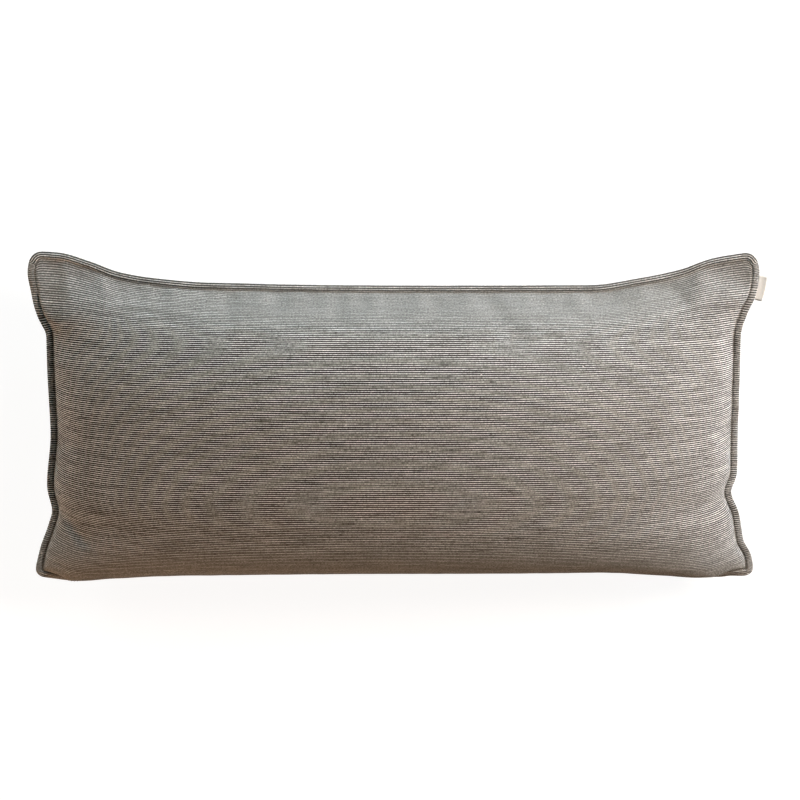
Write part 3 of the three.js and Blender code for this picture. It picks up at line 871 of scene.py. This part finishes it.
class CUSHION_OT_label(bpy.types.Operator):
    """Makes the small folded label on the right edge, left blank"""
    bl_idname = "cushion.label"
    bl_label = "Label"

    def execute(self, context):
        sizes, colours = context.scene.cushion_sizes, context.scene.cushion_colours
        seam = Seam(sizes)
        shift = footprint_shift(cover_shape(sizes, seam)[0])
        points, faces, flat = label_shape(seam)
        label = make_mesh("side_label", points + shift, faces, woven_tape(colours), flat)
        finished(turned_out(label), "label_tape", "label")
        return {"FINISHED"}


# What the softboxes point at, and how far they stand from it
LIT_POINT = np.array([0, 0, 0.06])
SOFTBOX_DISTANCE = 3.0

# Softboxes: name, bearing from +X and height above the floor in degrees, width and height in metres,
# power in watts, and colour. The light comes from the upper right, and warm light comes back from
# the lower left.
SOFTBOXES = (
    ("key", 31.7, 25, (1.6, 0.7), 158, "#FFF2E7"),
    ("sky", 31.7, 5, (1.6, 0.5), 62, "#AFDCFF"),
    ("fill", 127, 12, (1.6, 0.8), 44, "#D8F8FF"),
    ("bounce", 215, 10, (1.6, 0.7), 56, "#FFD2AC"),
    ("side", 345, 12, (1.6, 0.7), 18, "#FFE0BE"),
)


def softbox(name, bearing, height, size, power, colour):
    """A rectangular area lamp that faces the lit point, out of the camera's sight."""
    turn, rise = math.radians(bearing), math.radians(height)
    way = np.array([math.cos(rise) * math.cos(turn), math.cos(rise) * math.sin(turn), math.sin(rise)])
    data = bpy.data.lights.new(name, "AREA")
    data.shape, data.size, data.size_y = "RECTANGLE", *size
    data.energy, data.color = power, linear(colour)[:3]
    lamp = bpy.data.objects.new(name, data)
    lamp.location = LIT_POINT + SOFTBOX_DISTANCE * way
    lamp.rotation_euler = (math.pi / 2 - rise, 0, math.pi / 2 + turn)
    lamp.visible_camera = False
    bpy.context.scene.collection.objects.link(lamp)


# The studio's square floor, and its round back wall whose foot curves into it: radius and height
FLOOR_HALF = 8.0
BACK_WALL = np.array([(5.0, -0.001), (6.6, 0.2), (7.6, 0.9), (8.0, 2.2), (8.0, 12.0)])
WALL_SIDES = 96


def wall_shape():
    """The back wall: each radius and height turned about the vertical, seen from inside."""
    turn = np.linspace(0, 2 * math.pi, WALL_SIDES, endpoint=False)
    radius, height = BACK_WALL.T[:, :, None]
    points = np.stack([radius * np.cos(turn), radius * np.sin(turn), height + 0 * turn], axis=-1)
    numbers = np.arange(points[..., 0].size).reshape(points.shape[:2])
    return points.reshape(-1, 3), closed_quads(numbers)


def paper_floor(colours):
    """Matte white paper: pale, and with a glow of its own so that it looks white in low light."""
    material, tree = new_material("matte_paper_floor")
    shader = add_node(tree, "ShaderNodeBsdfPrincipled", {
        "Base Color": colours.floor, "Roughness": 0.9, "Specular IOR Level": 0.1,
        "Emission Color": (1, 1, 1, 1), "Emission Strength": 0.9})[0]
    add_node(tree, "ShaderNodeOutputMaterial", {"Surface": shader})
    return material


def add_studio(scene, colours):
    """The floor just under the cushion, the wall round it, and a faint warm light from all sides."""
    material = paper_floor(colours)
    corners = FLOOR_HALF * np.array([(-1, -1), (1, -1), (1, 1), (-1, 1)])
    floor = make_mesh("floor", np.column_stack([corners, np.full(4, -0.5 * MM)]),
                      np.array([[0, 1, 2, 3]]), material)
    floor.visible_diffuse = False
    # The wall only shows from the side. It neither lights nor shades the cushion.
    wall = make_mesh("back_wall", *wall_shape(), material)
    wall.visible_diffuse = wall.visible_glossy = wall.visible_shadow = False
    world = bpy.data.worlds.new("studio")
    world.use_nodes = True
    background = world.node_tree.nodes["Background"]
    background.inputs["Color"].default_value = linear("#D8CFC6")
    background.inputs["Strength"].default_value = 0.01
    scene.world = world


# The camera's lean from upright towards the top edge, its distance, its lens in millimetres, and how
# far to the right and to the top of the cushion's middle it looks
CAMERA_LEAN = math.radians(11)
CAMERA_DISTANCE = 3.0
CAMERA_LENS, CAMERA_SENSOR = 113.4, 36
AIM_RIGHT, AIM_UP = 0.0077, 0.0207


def add_camera(scene, shift):
    """The camera at the photo's angle to the cushion's face."""
    towards = np.array([0, math.sin(CAMERA_LEAN), math.cos(CAMERA_LEAN)])
    upwards = np.array([0, math.cos(CAMERA_LEAN), -math.sin(CAMERA_LEAN)])
    aim = LIT_POINT + shift + [AIM_RIGHT, 0, 0] + upwards * AIM_UP
    data = bpy.data.cameras.new("camera")
    data.lens, data.sensor_width = CAMERA_LENS, CAMERA_SENSOR
    data.clip_end = 50
    camera = bpy.data.objects.new("camera", data)
    camera.location = aim + CAMERA_DISTANCE * towards
    camera.rotation_euler = (-CAMERA_LEAN, 0, 0)
    scene.collection.objects.link(camera)
    scene.camera = camera


class CUSHION_OT_stage(bpy.types.Operator):
    """Makes the pale floor and wall, the soft lights and the camera"""
    bl_idname = "cushion.stage"
    bl_label = "Floor, lights and camera"

    def execute(self, context):
        scene = context.scene
        sizes, colours = scene.cushion_sizes, scene.cushion_colours
        add_studio(scene, colours)
        for lamp in SOFTBOXES:
            softbox(*lamp)
        add_camera(scene, footprint_shift(cover_shape(sizes, Seam(sizes))[0]))
        scene.view_settings.view_transform = "Standard"
        return {"FINISHED"}


class CUSHION_PT_panel(bpy.types.Panel):
    """The cushion's pieces, sizes and colours"""
    bl_idname = "CUSHION_PT_panel"
    bl_label = "Lumbar cushion"
    bl_space_type = "VIEW_3D"
    bl_region_type = "UI"
    bl_category = "Cushion"

    def draw(self, context):
        for operator in OPERATORS:
            self.layout.operator(operator.bl_idname)
        for group in (context.scene.cushion_sizes, context.scene.cushion_colours):
            for name in group.bl_rna.properties.keys():
                if name not in ("rna_type", "name"):
                    self.layout.prop(group, name)


OPERATORS = (CUSHION_OT_cover, CUSHION_OT_topstitching, CUSHION_OT_label, CUSHION_OT_stage)
CLASSES = (CushionSizes, CushionColours, *OPERATORS, CUSHION_PT_panel)


def register():
    for cls in CLASSES:
        bpy.utils.register_class(cls)
    bpy.types.Scene.cushion_sizes = bpy.props.PointerProperty(type=CushionSizes)
    bpy.types.Scene.cushion_colours = bpy.props.PointerProperty(type=CushionColours)


def unregister():
    del bpy.types.Scene.cushion_colours
    del bpy.types.Scene.cushion_sizes
    for cls in reversed(CLASSES):
        bpy.utils.unregister_class(cls)


def main():
    register()
    bpy.ops.cushion.cover()
    bpy.ops.cushion.topstitching()
    bpy.ops.cushion.label()
    bpy.ops.cushion.stage()


if __name__ == "__main__":
    main()
